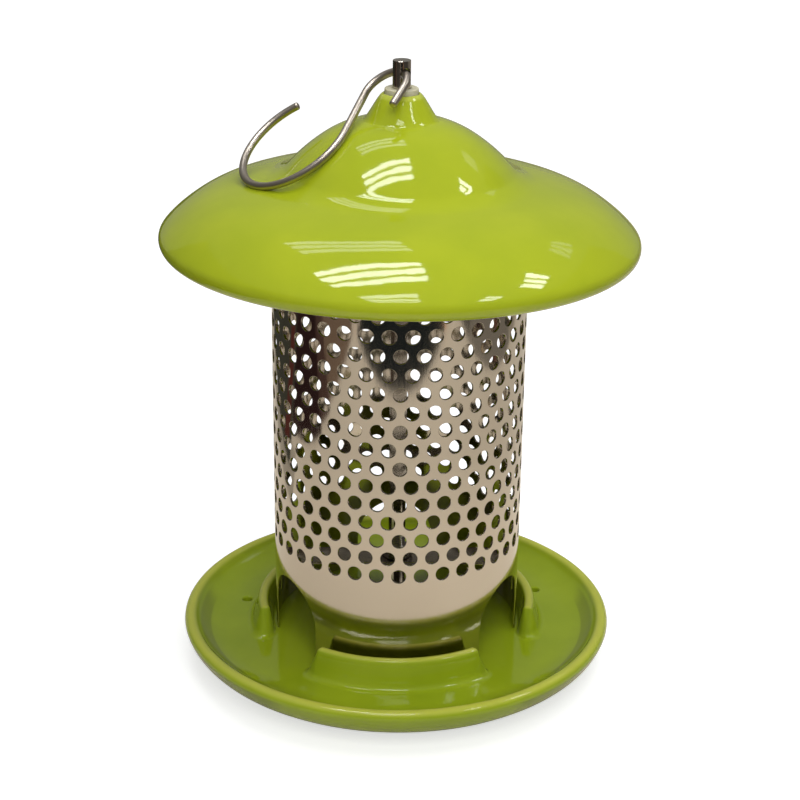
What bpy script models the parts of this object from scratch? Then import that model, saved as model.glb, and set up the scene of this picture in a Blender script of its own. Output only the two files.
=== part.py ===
"""Hanging bird feeder: glazed roof and tray, perforated steel seed tube, centre rod and S-hook."""
import math

import bmesh
import bpy
import numpy as np
from mathutils import Matrix, Vector

# Gaps, in metres like every size here
CLEARANCE = 0.0003
BORE_CLEARANCE = 0.0003

# Rod, nuts and washers
ROD_RADIUS = 0.004
ROD_CHAMFER = 0.0008
ROD_STAND_OUT = 0.0121
CROSS_HOLE_RADIUS = 0.0027
CROSS_HOLE_BELOW_TOP = 0.0056
CROSS_HOLE_AZIMUTH = math.radians(31.0)
NUT_ACROSS_FLATS = 0.013
NUT_THICKNESS = 0.0045
ROD_END_BELOW_NUT = 0.0003
WASHER_RADIUS = 0.012
STEEL_WASHER_THICKNESS = 0.0012
RUBBER_WASHER_RADIUS = 0.013
RUBBER_WASHER_THICKNESS = 0.0015

# Tray
TRAY_RADIUS = 0.102
TRAY_RIM_HEIGHT = 0.0236
TRAY_RIM_LIP = 0.0032
TRAY_RIM_SWEEP = 0.0025
TRAY_FLOOR_RADIUS = 0.081
TRAY_FLOOR_THICKNESS = 0.007
TRAY_RECESS = 0.009
TRAY_RECESS_DRAFT = 0.002
TRAY_FOOT_RADIUS = 0.071
TRAY_FOOT_WIDTH = 0.010
TRAY_BORE_CLEARANCE = 0.0008
DRAIN_RADIUS = 0.0022
DRAIN_CIRCLE_RADIUS = 0.0757
DRAIN_AZIMUTHS = (math.radians(113.0), math.radians(-104.5))

# Ribs that stand on the tray around the tube
RIB_AZIMUTHS = (0.0, math.radians(115.0), math.radians(-115.0))
RIB_HALF_ANGLES = (math.radians(37.5), math.radians(42.0), math.radians(42.0))
RIB_END_LEAN = math.radians(3.0)
RIB_GAP = 0.0016
RIB_THICKNESS = 0.0092
RIB_TOP_THICKNESS = 0.0052
RIB_HEIGHT = 0.0138

# Seed tube
TUBE_RADIUS = 0.058
TUBE_WALL = 0.001
TUBE_HEIGHT = 0.213
FIRST_ROW_HEIGHT = 0.0517
TOP_BAND = 0.034
HOLES_ROUND = 36
HOLE_DIAMETER = 0.0065
ARCH_WIDTH = 0.0384
ARCH_HEIGHT = 0.0357
ARCH_AZIMUTHS = (math.radians(60.0), math.radians(180.0), math.radians(300.0))

# Strap across the tube
STRAP_WIDTH = 0.017
STRAP_THICKNESS = 0.0015
STRAP_HEIGHT = 0.0337
STRAP_TAB = 0.014
STRAP_BEND = 0.003

# Roof, with heights above its seat on the tube; a sweep is how far a curve's handle lies off its end
ROOF_RADIUS = 0.1078
ROOF_WALL = 0.0064
ROOF_EDGE_DROP = 0.0206
ROOF_EDGE_LEAN = math.radians(31.7)
ROOF_BRIM_SWEEPS = (0.0053, 0.0108)
ROOF_SEAT_WIDTH = 0.010
ROOF_VALLEY_RADIUS = 0.0505
ROOF_VALLEY_HEIGHT = 0.0094
ROOF_DOME_HEIGHT = 0.0351
ROOF_DOME_SWEEPS = (0.004, 0.0135)
ROOF_NUB_HEIGHT = 0.0431
ROOF_NUB_RADIUS = 0.017
ROOF_NUB_SWEEP = 0.003
ROOF_NUB_LAND = 0.0022
ROOF_UNDERSIDE_SAG = 0.0045
ROOF_CROWN_WALL = 0.0071
ROOF_CROWN_LAND = 0.006

# Bushing that lines the roof's centre hole
BUSHING_WALL = 0.0016
BUSHING_FLANGE_RADIUS = 0.0075
BUSHING_FLANGE_THICKNESS = 0.0037

# S-hook, measured on the wire's centre line
WIRE_RADIUS = 0.00175
LOOP_RADIUS = 0.0108
LOOP_LEG = 0.0115
LOOP_LEG_TURN = math.radians(67.5)
SHANK_LEAN = math.radians(29.0)
SHANK_LENGTH = 0.025
HOOK_RADIUS = 0.0274
HOOK_TURN = math.radians(247.0)

# Heights worked out from the sizes above
TRAY_FLOOR_TOP = TRAY_RECESS + TRAY_FLOOR_THICKNESS
TUBE_BASE = TRAY_FLOOR_TOP + CLEARANCE
TUBE_TOP = TUBE_BASE + TUBE_HEIGHT
ROOF_SEAT = TUBE_TOP + CLEARANCE
ROOF_TOP = ROOF_SEAT + ROOF_NUB_HEIGHT
BUSHING_TOP = ROOF_TOP + CLEARANCE + BUSHING_FLANGE_THICKNESS
ROD_TOP = BUSHING_TOP + ROD_STAND_OUT
CROSS_HOLE_HEIGHT = ROD_TOP - CROSS_HOLE_BELOW_TOP
STRAP_TOP = TUBE_BASE + STRAP_HEIGHT
RUBBER_WASHER_BASE = TRAY_RECESS - CLEARANCE - RUBBER_WASHER_THICKNESS
STEEL_WASHER_BASE = RUBBER_WASHER_BASE - CLEARANCE - STEEL_WASHER_THICKNESS
BOTTOM_NUT_BASE = STEEL_WASHER_BASE - CLEARANCE - NUT_THICKNESS
ROD_BASE = BOTTOM_NUT_BASE - ROD_END_BELOW_NUT

# Radii worked out from the sizes above
BORE_RADIUS = ROD_RADIUS + BORE_CLEARANCE
BUSHING_RADIUS = BORE_RADIUS + BUSHING_WALL
ROOF_BORE_RADIUS = BUSHING_RADIUS + CLEARANCE
RIB_INNER_RADIUS = TUBE_RADIUS + RIB_GAP
HOLE_PITCH = 2.0 * math.pi * TUBE_RADIUS / HOLES_ROUND
ROW_SPACING = HOLE_PITCH * math.sqrt(3.0) / 2.0
HOLE_ROWS = int((TUBE_HEIGHT - TOP_BAND - FIRST_ROW_HEIGHT) / ROW_SPACING) + 1

# Facets
TURN_STEPS = 48
SMALL_STEPS = 32
BORE_SIDES = 24
WIRE_RESOLUTION = 2
HOOK_ARC_STEP = math.radians(11.0)

GLAZE = ((0.42, 0.52, 0.03, 1.0), 0.12, 0.0)
TRAY_GLAZE = ((0.22, 0.32, 0.02, 1.0), 0.14, 0.0)
STEEL = ((0.62, 0.58, 0.52, 1.0), 0.28, 1.0)
POLISHED_STEEL = ((0.68, 0.64, 0.62, 1.0), 0.15, 1.0)
NYLON = ((0.72, 0.70, 0.60, 1.0), 0.45, 0.0)
RUBBER = ((0.03, 0.03, 0.03, 1.0), 0.7, 0.0)


def clear_scene():
    for obj in list(bpy.data.objects):
        bpy.data.objects.remove(obj, do_unlink=True)


def make_collection(name):
    collection = bpy.data.collections.new(name)
    bpy.context.scene.collection.children.link(collection)
    return collection


def make_material(name, look):
    colour, roughness, metallic = look
    material = bpy.data.materials.new(name)
    material.use_nodes = True
    shader = material.node_tree.nodes["Principled BSDF"]
    shader.inputs["Base Color"].default_value = colour
    shader.inputs["Roughness"].default_value = roughness
    shader.inputs["Metallic"].default_value = metallic
    return material


def place(name, mesh, collection, look=None, location=(0.0, 0.0, 0.0), rotation=(0.0, 0.0, 0.0)):
    obj = bpy.data.objects.new(name, mesh)
    obj.location = location
    obj.rotation_euler = rotation
    collection.objects.link(obj)
    if look is not None:
        mesh.materials.append(make_material(name, look))
    return obj


def place_cutter(name, mesh, **placing):
    cutter = place(name, mesh, cutters, **placing)
    cutter.hide_render = True
    cutter.display_type = "WIRE"
    return cutter


def shade(obj, sharp_degrees=35.0):
    obj.data.shade_smooth()
    obj.data.set_sharp_from_angle(angle=math.radians(sharp_degrees))


def boolean(obj, other, operation="DIFFERENCE"):
    modifier = obj.modifiers.new(other.name, "BOOLEAN")
    modifier.operation = operation
    modifier.object = other


def mesh_from(name, build):
    """A mesh filled by a function that draws into a bmesh."""
    mesh = bpy.data.meshes.new(name)
    bm = bmesh.new()
    build(bm)
    bm.to_mesh(mesh)
    bm.free()
    return mesh


def cylinder_mesh(name, radius, length, sides):
    """A cylinder along Z, centred on its origin."""

    def build(bm):
        bmesh.ops.create_cone(bm, cap_ends=True, segments=sides, radius1=radius, radius2=radius, depth=length)

    return mesh_from(name, build)


def arc(centre, radius, start, end, count):
    """Points along an arc in the (r, z) plane, from start to end in radians."""
    return [(centre[0] + radius * math.cos(a), centre[1] + radius * math.sin(a))
            for a in np.linspace(start, end, count)]


def bezier(points, count):
    """Points along a cubic curve in the (r, z) plane."""
    p0, p1, p2, p3 = (Vector(p) for p in points)
    curve = []
    for t in np.linspace(0.0, 1.0, count):
        s = 1.0 - t
        point = p0 * s ** 3 + p1 * (3 * s * s * t) + p2 * (3 * s * t * t) + p3 * t ** 3
        curve.append((point.x, point.y))
    return curve


def without_repeats(points):
    kept = []
    for point in points:
        if not kept or math.dist(point, kept[-1]) > 1e-6:
            kept.append(point)
    return kept


def turned(name, profile, look, steps=TURN_STEPS, height=0.0):
    """A closed (r, z) outline turned about Z, drawn down its outer side and back up its inner side."""
    outline = without_repeats(profile)

    def build(bm):
        verts = [bm.verts.new((r, 0.0, z)) for r, z in outline]
        for a, b in zip(verts, verts[1:] + verts[:1]):
            bm.edges.new((a, b))

    obj = place(name, mesh_from(name, build), parts, look, location=(0.0, 0.0, height))
    screw = obj.modifiers.new("turn", "SCREW")
    screw.steps = steps
    screw.render_steps = steps
    screw.use_merge_vertices = True
    screw.merge_threshold = 1e-6
    return obj


def heading(azimuth):
    """Unit vector at an azimuth that is 0 at the front (-Y) and grows towards +X."""
    return Vector((math.sin(azimuth), -math.cos(azimuth), 0.0))


def roof_outer_profile():
    """The roof's glazed side, from the nub down to the brim's outer edge."""
    valley = (ROOF_VALLEY_RADIUS, ROOF_VALLEY_HEIGHT)
    nub_foot = (ROOF_NUB_RADIUS, ROOF_DOME_HEIGHT)
    nub = bezier([(ROOF_BORE_RADIUS + ROOF_NUB_LAND, ROOF_NUB_HEIGHT),
                  (0.72 * ROOF_NUB_RADIUS, ROOF_NUB_HEIGHT),
                  (0.75 * ROOF_NUB_RADIUS, ROOF_DOME_HEIGHT + ROOF_NUB_SWEEP), nub_foot], 5)
    dome_span = valley[0] - nub_foot[0]
    dome = bezier([nub_foot, (nub_foot[0] + 0.39 * dome_span, ROOF_DOME_HEIGHT - ROOF_DOME_SWEEPS[0]),
                   (nub_foot[0] + 0.75 * dome_span, ROOF_DOME_HEIGHT - ROOF_DOME_SWEEPS[1]), valley], 7)
    lip = ROOF_WALL / 2.0
    lip_centre = (ROOF_RADIUS - lip, -ROOF_EDGE_DROP)
    edge = (lip_centre[0] + lip * math.cos(ROOF_EDGE_LEAN),
            lip_centre[1] + lip * math.sin(ROOF_EDGE_LEAN))
    brim_span = edge[0] - valley[0]
    brim = bezier([valley, (valley[0] + 0.31 * brim_span, valley[1] - ROOF_BRIM_SWEEPS[0]),
                   (valley[0] + 0.82 * brim_span, valley[1] - ROOF_BRIM_SWEEPS[1]), edge], 8)
    return nub + dome + brim, lip_centre


def roof_profile():
    """The whole cut through the roof: glazed side, rounded edge, underside, seat and inside of the dome."""
    outer, lip_centre = roof_outer_profile()
    edge = arc(lip_centre, ROOF_WALL / 2.0, ROOF_EDGE_LEAN, ROOF_EDGE_LEAN - math.pi, 6)
    seat_outer = TUBE_RADIUS - TUBE_WALL / 2.0 + ROOF_SEAT_WIDTH / 2.0
    seat_inner = seat_outer - ROOF_SEAT_WIDTH
    under = edge[-1]
    under_span = under[0] - seat_outer
    underside = bezier([under, (under[0] - 0.18 * under_span, 0.35 * under[1]),
                        (seat_outer + 0.35 * under_span, -ROOF_UNDERSIDE_SAG), (seat_outer, 0.0)], 5)
    crown = ROOF_DOME_HEIGHT - ROOF_CROWN_WALL
    hollow = bezier([(seat_inner, 0.0), (0.83 * seat_inner, 0.40 * crown),
                     (0.62 * seat_inner, 0.80 * crown), (ROOF_BORE_RADIUS + ROOF_CROWN_LAND, crown)], 5)
    return outer + edge[1:] + underside[1:] + hollow + [(ROOF_BORE_RADIUS, crown),
                                                       (ROOF_BORE_RADIUS, ROOF_NUB_HEIGHT)]


def make_roof():
    roof = turned("roof", roof_profile(), GLAZE, height=ROOF_SEAT)
    shade(roof)
    return roof


def make_roof_bushing():
    """A nylon bushing whose sleeve fills the roof's hole and whose flange sits on the nub."""
    crown = ROOF_DOME_HEIGHT - ROOF_CROWN_WALL
    flange_base = ROOF_NUB_HEIGHT + CLEARANCE
    flange_top = flange_base + BUSHING_FLANGE_THICKNESS
    profile = [(BORE_RADIUS, flange_top), (BUSHING_FLANGE_RADIUS - 0.0005, flange_top),
               (BUSHING_FLANGE_RADIUS, flange_top - 0.0005), (BUSHING_FLANGE_RADIUS, flange_base),
               (BUSHING_RADIUS, flange_base), (BUSHING_RADIUS, crown), (BORE_RADIUS, crown)]
    bushing = turned("roof_bushing", profile, NYLON, SMALL_STEPS, ROOF_SEAT)
    shade(bushing)
    return bushing


def make_hanging_rod():
    length = ROD_TOP - ROD_BASE
    profile = [(0.0, length), (ROD_RADIUS - ROD_CHAMFER, length), (ROD_RADIUS, length - ROD_CHAMFER),
               (ROD_RADIUS, ROD_CHAMFER), (ROD_RADIUS - ROD_CHAMFER, 0.0), (0.0, 0.0)]
    rod = turned("hanging_rod", profile, POLISHED_STEEL, SMALL_STEPS, ROD_BASE)
    hole = cylinder_mesh("cross_hole", CROSS_HOLE_RADIUS, 4.0 * ROD_RADIUS, BORE_SIDES)
    boolean(rod, place_cutter("cross_hole", hole, location=(0.0, 0.0, CROSS_HOLE_HEIGHT),
                              rotation=(math.pi / 2.0, 0.0, CROSS_HOLE_AZIMUTH)))
    shade(rod)
    return rod


def make_washer(name, radius, base, thickness, look):
    profile = [(BORE_RADIUS, thickness), (radius, thickness), (radius, 0.0), (BORE_RADIUS, 0.0)]
    washer = turned(name, profile, look, SMALL_STEPS, base)
    shade(washer)
    return washer


def make_nut(name, base):
    """A thin hexagon nut on the rod, with its thread left to the finish."""
    corner_radius = NUT_ACROSS_FLATS / math.sqrt(3.0)
    body = cylinder_mesh(name, corner_radius, NUT_THICKNESS, 6)
    middle = base + NUT_THICKNESS / 2.0
    nut = place(name, body, parts, STEEL, location=(0.0, 0.0, middle))
    bore = cylinder_mesh(name + "_bore", BORE_RADIUS, 2.0 * NUT_THICKNESS, BORE_SIDES)
    boolean(nut, place_cutter(name + "_bore", bore, location=(0.0, 0.0, middle)))
    shade(nut)
    return nut


def tube_point(angle, height):
    """A point on the tube's outer surface; the angle is an azimuth."""
    point = heading(angle) * TUBE_RADIUS
    return (point.x, point.y, height)


def hole_corners(bm, angle, height, half):
    """The left, bottom, right and top corners of one four-sided hole."""
    swing = half / TUBE_RADIUS
    left = bm.verts.new(tube_point(angle - swing, height))
    bottom = bm.verts.new(tube_point(angle, height - half))
    right = bm.verts.new(tube_point(angle + swing, height))
    top = bm.verts.new(tube_point(angle, height + half))
    return left, bottom, right, top


def draw_end_band(bm, row, step, height, upward):
    """The plain band between a row of holes and one end of the tube."""
    ends = []
    for i in range(len(row)):
        angle = row[i][0]
        between = bm.verts.new(tube_point(angle - step / 2.0, height))
        middle = bm.verts.new(tube_point(angle, height))
        ends.append((between, middle))
    for i in range(len(row)):
        left, bottom, right, top = row[i][1]
        next_left = row[(i + 1) % len(row)][1][0]
        between, middle = ends[i]
        next_between = ends[(i + 1) % len(row)][0]
        if upward:
            bm.faces.new((left, top, middle, between))
            bm.faces.new((top, right, next_between, middle))
            bm.faces.new((right, next_left, next_between))
        else:
            bm.faces.new((between, middle, bottom, left))
            bm.faces.new((middle, next_between, right, bottom))
            bm.faces.new((next_between, next_left, right))


def draw_perforated_skin(bm):
    """The tube's outer skin: staggered rows of holes, with the web between them."""
    step = 2.0 * math.pi / HOLES_ROUND
    half = HOLE_DIAMETER * math.sqrt(math.pi / 8.0)
    rows = []
    for k in range(HOLE_ROWS):
        offset = step / 2.0 if k % 2 else 0.0
        height = FIRST_ROW_HEIGHT + k * ROW_SPACING
        angles = [offset + i * step for i in range(HOLES_ROUND)]
        rows.append([(a, hole_corners(bm, a, height, half)) for a in angles])
    for k in range(HOLE_ROWS - 1):
        for i in range(HOLES_ROUND):
            left, bottom, right, top = rows[k][i][1]
            next_left = rows[k][(i + 1) % HOLES_ROUND][1][0]
            up_right = rows[k + 1][(i + k % 2) % HOLES_ROUND][1]
            up_left = rows[k + 1][(i + k % 2 - 1) % HOLES_ROUND][1]
            bm.faces.new((top, right, up_right[1], up_right[0]))
            bm.faces.new((left, top, up_left[2], up_left[1]))
            bm.faces.new((right, next_left, up_right[1]))
            bm.faces.new((top, up_right[0], up_left[2]))
    draw_end_band(bm, rows[0], step, 0.0, upward=False)
    draw_end_band(bm, rows[-1], step, TUBE_HEIGHT, upward=True)


def arch_outline():
    """Half-round arch on straight sides, as (across, up) points."""
    half = ARCH_WIDTH / 2.0
    below = -TRAY_FLOOR_THICKNESS
    return [(half, below)] + arc((0.0, ARCH_HEIGHT - half), half, 0.0, math.pi, 13) + [(-half, below)]


def draw_arch_cutter(bm, azimuth):
    """A prism with the arch's outline that runs outwards through the tube's wall."""
    outward = heading(azimuth)
    across = Vector((0.0, 0.0, 1.0)).cross(outward)
    rings = []
    for distance in (0.6 * TUBE_RADIUS, 1.3 * TUBE_RADIUS):
        rings.append([bm.verts.new(outward * distance + across * u + Vector((0.0, 0.0, v)))
                      for u, v in arch_outline()])
    near, far = rings
    count = len(near)
    for i in range(count):
        j = (i + 1) % count
        bm.faces.new((near[i], near[j], far[j], far[i]))
    bm.faces.new(list(reversed(near)))
    bm.faces.new(far)


def make_seed_tube():
    tube = place("seed_tube", mesh_from("seed_tube", draw_perforated_skin), parts, STEEL,
                 location=(0.0, 0.0, TUBE_BASE))
    wall = tube.modifiers.new("wall", "SOLIDIFY")
    wall.thickness = TUBE_WALL
    wall.offset = -1.0
    wall.use_even_offset = True

    def build(bm):
        for azimuth in ARCH_AZIMUTHS:
            draw_arch_cutter(bm, azimuth)
        bmesh.ops.recalc_face_normals(bm, faces=bm.faces)

    arches = mesh_from("feed_arches", build)
    boolean(tube, place_cutter("feed_arches", arches, location=(0.0, 0.0, TUBE_BASE)))
    shade(tube)
    return tube


def make_cross_strap():
    """A flat strap over the tube's width, with its ends bent down along the wall."""
    half_width = STRAP_WIDTH / 2.0
    inner = TUBE_RADIUS - TUBE_WALL
    reach = math.sqrt(inner ** 2 - half_width ** 2) - 1.5 * CLEARANCE
    bend = arc((reach - STRAP_BEND, -STRAP_BEND), STRAP_BEND, 0.0, math.pi / 2.0, 5)
    half_path = [(reach, -STRAP_TAB)] + bend
    path = half_path + [(-x, z) for x, z in reversed(half_path)]

    def build(bm):
        front = [bm.verts.new((x, -half_width, z)) for x, z in path]
        back = [bm.verts.new((x, half_width, z)) for x, z in path]
        for i in range(len(path) - 1):
            bm.faces.new((front[i + 1], front[i], back[i], back[i + 1]))

    strap = place("cross_strap", mesh_from("cross_strap", build), parts, STEEL,
                  location=(0.0, 0.0, STRAP_TOP))
    sheet = strap.modifiers.new("sheet", "SOLIDIFY")
    sheet.thickness = STRAP_THICKNESS
    sheet.offset = -1.0
    sheet.use_even_offset = True
    bore = cylinder_mesh("strap_bore", BORE_RADIUS, 8.0 * STRAP_THICKNESS, BORE_SIDES)
    boolean(strap, place_cutter("strap_bore", bore, location=(0.0, 0.0, STRAP_TOP)))
    shade(strap)
    return strap


def tray_profile():
    """The cut through the tray, from the bore over the floor and rim to the foot and the recess."""
    bore = ROD_RADIUS + TRAY_BORE_CLEARANCE
    lip_centre = (TRAY_RADIUS - TRAY_RIM_LIP, TRAY_RIM_HEIGHT - TRAY_RIM_LIP)
    rim = arc(lip_centre, TRAY_RIM_LIP, math.radians(150.0), math.radians(-30.0), 6)
    dish_span = rim[0][0] - TRAY_FLOOR_RADIUS
    dish = bezier([(TRAY_FLOOR_RADIUS, TRAY_FLOOR_TOP),
                   (TRAY_FLOOR_RADIUS + 0.55 * dish_span, TRAY_FLOOR_TOP),
                   (rim[0][0] - 0.12 * dish_span, rim[0][1] - TRAY_RIM_SWEEP), rim[0]], 5)
    under_span = rim[-1][0] - TRAY_FOOT_RADIUS
    outside = bezier([rim[-1], (rim[-1][0] - 0.10 * under_span, 0.45 * rim[-1][1]),
                      (TRAY_FOOT_RADIUS + 0.35 * under_span, 0.15 * rim[-1][1]), (TRAY_FOOT_RADIUS, 0.0)], 6)
    foot_inner = TRAY_FOOT_RADIUS - TRAY_FOOT_WIDTH
    recess = [(foot_inner, 0.0), (foot_inner - TRAY_RECESS_DRAFT, TRAY_RECESS), (bore, TRAY_RECESS)]
    return [(bore, TRAY_FLOOR_TOP)] + dish + rim[1:] + outside[1:] + recess


def rib_section():
    """A rib's cut as (radius, height, share of the way up), drawn round with a rounded top."""
    floor = TRAY_FLOOR_TOP - TRAY_FLOOR_THICKNESS / 2.0
    top = TRAY_FLOOR_TOP + RIB_HEIGHT
    middle = RIB_INNER_RADIUS + RIB_THICKNESS / 2.0
    foot = RIB_THICKNESS / 2.0
    head = RIB_TOP_THICKNESS / 2.0
    cap = [(r, z, 1.0) for r, z in arc((middle, top - head), head, 0.0, math.pi, 6)]
    return [(middle + foot, floor, 0.0), (middle + foot, TRAY_FLOOR_TOP, 0.0)] + cap + [
        (middle - foot, TRAY_FLOOR_TOP, 0.0), (middle - foot, floor, 0.0)]


def draw_rib(bm, azimuth, foot_half_angle, steps=12):
    """A rib swept round the tray, whose ends lean in towards its top."""
    sections = []
    for share in np.linspace(-1.0, 1.0, steps + 1):
        section = []
        for radius, height, up in rib_section():
            half_angle = foot_half_angle - RIB_END_LEAN * up
            point = heading(azimuth + share * half_angle) * radius
            section.append(bm.verts.new((point.x, point.y, height)))
        sections.append(section)
    count = len(sections[0])
    for a, b in zip(sections, sections[1:]):
        for i in range(count):
            j = (i + 1) % count
            bm.faces.new((a[i], a[j], b[j], b[i]))
    bm.faces.new(list(reversed(sections[0])))
    bm.faces.new(sections[-1])


def make_tray():
    tray = turned("tray", tray_profile(), TRAY_GLAZE)

    def build_ribs(bm):
        for azimuth, half_angle in zip(RIB_AZIMUTHS, RIB_HALF_ANGLES):
            draw_rib(bm, azimuth, half_angle)
        bmesh.ops.recalc_face_normals(bm, faces=bm.faces)

    boolean(tray, place_cutter("tray_ribs", mesh_from("tray_ribs", build_ribs)), "UNION")
    for azimuth in DRAIN_AZIMUTHS:
        name = "drain_{:.0f}".format(math.degrees(azimuth) % 360.0)
        drill = cylinder_mesh(name, DRAIN_RADIUS, 6.0 * TRAY_FLOOR_THICKNESS, 12)
        spot = heading(azimuth) * DRAIN_CIRCLE_RADIUS
        boolean(tray, place_cutter(name, drill, location=(spot.x, spot.y, TRAY_FLOOR_TOP)))
    shade(tray)
    return tray


def hook_path():
    """The wire's centre line in the hook's own plane, with the cross-hole's middle as origin."""
    sag = CROSS_HOLE_RADIUS - WIRE_RADIUS
    loop_centre = Vector((0.0, LOOP_RADIUS - 0.4 * sag))
    turn_back = math.pi / 2.0 + SHANK_LEAN
    start = -math.pi / 2.0 + LOOP_LEG_TURN
    leg_foot = loop_centre + Vector((math.cos(start), math.sin(start))) * LOOP_RADIUS
    leg_way = Vector((-math.sin(start), math.cos(start)))
    points = [leg_foot + leg_way * LOOP_LEG, leg_foot + leg_way * (LOOP_LEG / 2.0)]
    loop_turn = LOOP_LEG_TURN + turn_back
    for angle in np.linspace(start, start - loop_turn, int(loop_turn / (1.5 * HOOK_ARC_STEP)) + 1):
        points.append(loop_centre + Vector((math.cos(angle), math.sin(angle))) * LOOP_RADIUS)
    shank_way = Vector((math.sin(SHANK_LEAN), math.cos(SHANK_LEAN)))
    shank_foot = points[-1]
    points += [shank_foot + shank_way * (SHANK_LENGTH * share) for share in (0.33, 0.67)]
    shank_head = shank_foot + shank_way * SHANK_LENGTH
    inward = Vector((-math.cos(SHANK_LEAN), math.sin(SHANK_LEAN)))
    hook_centre = shank_head + inward * HOOK_RADIUS
    for angle in np.linspace(0.0, HOOK_TURN, int(HOOK_TURN / HOOK_ARC_STEP) + 1):
        turned_way = Matrix.Rotation(angle, 2) @ (-inward)
        points.append(hook_centre + turned_way * HOOK_RADIUS)
    return points


def gap_to_profile(points, profile):
    """The least distance from (r, z) points to an open outline."""
    least = math.inf
    starts = np.array(profile[:-1])
    runs = np.array(profile[1:]) - starts
    for point in points:
        offset = np.array(point) - starts
        share = np.clip((offset * runs).sum(1) / (runs * runs).sum(1), 0.0, 1.0)
        least = min(least, np.linalg.norm(offset - runs * share[:, None], axis=1).min())
    return least


def hook_matrix(drop):
    """The hook's pose: X runs along the cross-hole and Y leaves it, dropped below the level."""
    return (Matrix.Translation((0.0, 0.0, CROSS_HOLE_HEIGHT))
            @ Matrix.Rotation(CROSS_HOLE_AZIMUTH - math.pi / 2.0, 4, "Z")
            @ Matrix.Rotation(math.pi + drop, 4, "X"))


def hook_rest_drop():
    """How far the hook falls about the cross-hole until its bend lies on the roof."""
    outer = without_repeats(roof_outer_profile()[0])
    profile = [(r, z + ROOF_SEAT) for r, z in outer]
    need = WIRE_RADIUS + CLEARANCE
    low, high = 0.0, math.pi / 2.0
    for _ in range(24):
        drop = (low + high) / 2.0
        matrix = hook_matrix(drop)
        spots = [matrix @ Vector((p.x, p.y, 0.0)) for p in hook_path()]
        heights = [(math.hypot(s.x, s.y), s.z) for s in spots]
        inside = any(z < np.interp(r, *zip(*profile)) for r, z in heights if r < ROOF_RADIUS)
        if inside or gap_to_profile(heights, profile) < need:
            high = drop
        else:
            low = drop
    return low


def make_s_hook():
    curve = bpy.data.curves.new("s_hook", "CURVE")
    curve.dimensions = "3D"
    curve.bevel_depth = WIRE_RADIUS
    curve.bevel_resolution = WIRE_RESOLUTION
    curve.use_fill_caps = True
    path = hook_path()
    spline = curve.splines.new("POLY")
    spline.points.add(len(path) - 1)
    for point, spot in zip(spline.points, path):
        point.co = (spot.x, spot.y, 0.0, 1.0)
    hook = place("s_hook", curve, parts, POLISHED_STEEL)
    hook.matrix_world = hook_matrix(hook_rest_drop())
    return hook


clear_scene()
parts = make_collection("bird_feeder")
cutters = make_collection("cutters")
make_tray()
make_seed_tube()
make_cross_strap()
make_nut("strap_nut", STRAP_TOP + CLEARANCE)
make_hanging_rod()
make_washer("rubber_washer", RUBBER_WASHER_RADIUS, RUBBER_WASHER_BASE, RUBBER_WASHER_THICKNESS, RUBBER)
make_washer("steel_washer", WASHER_RADIUS, STEEL_WASHER_BASE, STEEL_WASHER_THICKNESS, STEEL)
make_nut("bottom_nut", BOTTOM_NUT_BASE)
make_roof()
make_roof_bushing()
make_s_hook()
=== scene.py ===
import math

import bmesh
import bpy
import numpy as np
from mathutils import Matrix, Vector, noise


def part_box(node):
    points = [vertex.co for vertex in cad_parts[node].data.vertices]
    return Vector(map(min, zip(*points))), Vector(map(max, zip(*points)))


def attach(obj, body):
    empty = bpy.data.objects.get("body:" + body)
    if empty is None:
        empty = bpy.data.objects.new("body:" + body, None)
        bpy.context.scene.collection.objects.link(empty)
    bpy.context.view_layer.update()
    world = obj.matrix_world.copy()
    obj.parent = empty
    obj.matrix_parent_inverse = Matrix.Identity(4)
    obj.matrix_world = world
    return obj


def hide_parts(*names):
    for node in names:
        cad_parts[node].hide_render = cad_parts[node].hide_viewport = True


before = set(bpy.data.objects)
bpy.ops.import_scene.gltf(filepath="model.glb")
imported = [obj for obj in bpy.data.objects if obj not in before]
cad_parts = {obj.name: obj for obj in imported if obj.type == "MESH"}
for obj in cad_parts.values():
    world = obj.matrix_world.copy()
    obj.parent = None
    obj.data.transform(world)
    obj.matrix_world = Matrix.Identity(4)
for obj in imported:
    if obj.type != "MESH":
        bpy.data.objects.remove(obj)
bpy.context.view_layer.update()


# Camera, as the feeder was photographed: 22 degrees down, an 85 mm lens, a hair to the left
camera = {
    "aim": (0.0, 0.0, 0.130),
    "distance": 0.8799,
    "elevation": 22.09,
    "azimuth": -1.0,
    "roll": 0.61,
    "lens": 85.365,
    "shift": (0.0021, 0.0001),
}


def addObject(name, data):
    obj = bpy.data.objects.new(name, data)
    bpy.context.scene.collection.objects.link(obj)
    return obj


def addCamera(look):
    lens = bpy.data.cameras.new("photoCamera")
    lens.lens = look["lens"]
    lens.sensor_width = 36.0
    lens.shift_x, lens.shift_y = look["shift"]
    lens.clip_start = 0.01
    lens.clip_end = 50.0
    azimuth, elevation = math.radians(look["azimuth"]), math.radians(look["elevation"])
    back = Vector((math.sin(azimuth) * math.cos(elevation), -math.cos(azimuth) * math.cos(elevation),
                   math.sin(elevation)))
    obj = addObject("photoCamera", lens)
    turn = (-back).to_track_quat("-Z", "Y").to_matrix().to_4x4()
    obj.matrix_world = (Matrix.Translation(Vector(look["aim"]) + back * look["distance"]) @ turn
                        @ Matrix.Rotation(math.radians(look["roll"]), 4, "Z"))
    bpy.context.scene.camera = obj


addCamera(camera)


# Mesh helpers. Azimuth 0 is the front, -Y.
upward = np.array([0.0, 0.0, 1.0])


def heading(azimuth):
    return np.stack([np.sin(azimuth), -np.cos(azimuth), np.zeros_like(azimuth)], -1)


def onCircle(angle):
    return np.array([math.cos(angle), math.sin(angle)])


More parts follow.
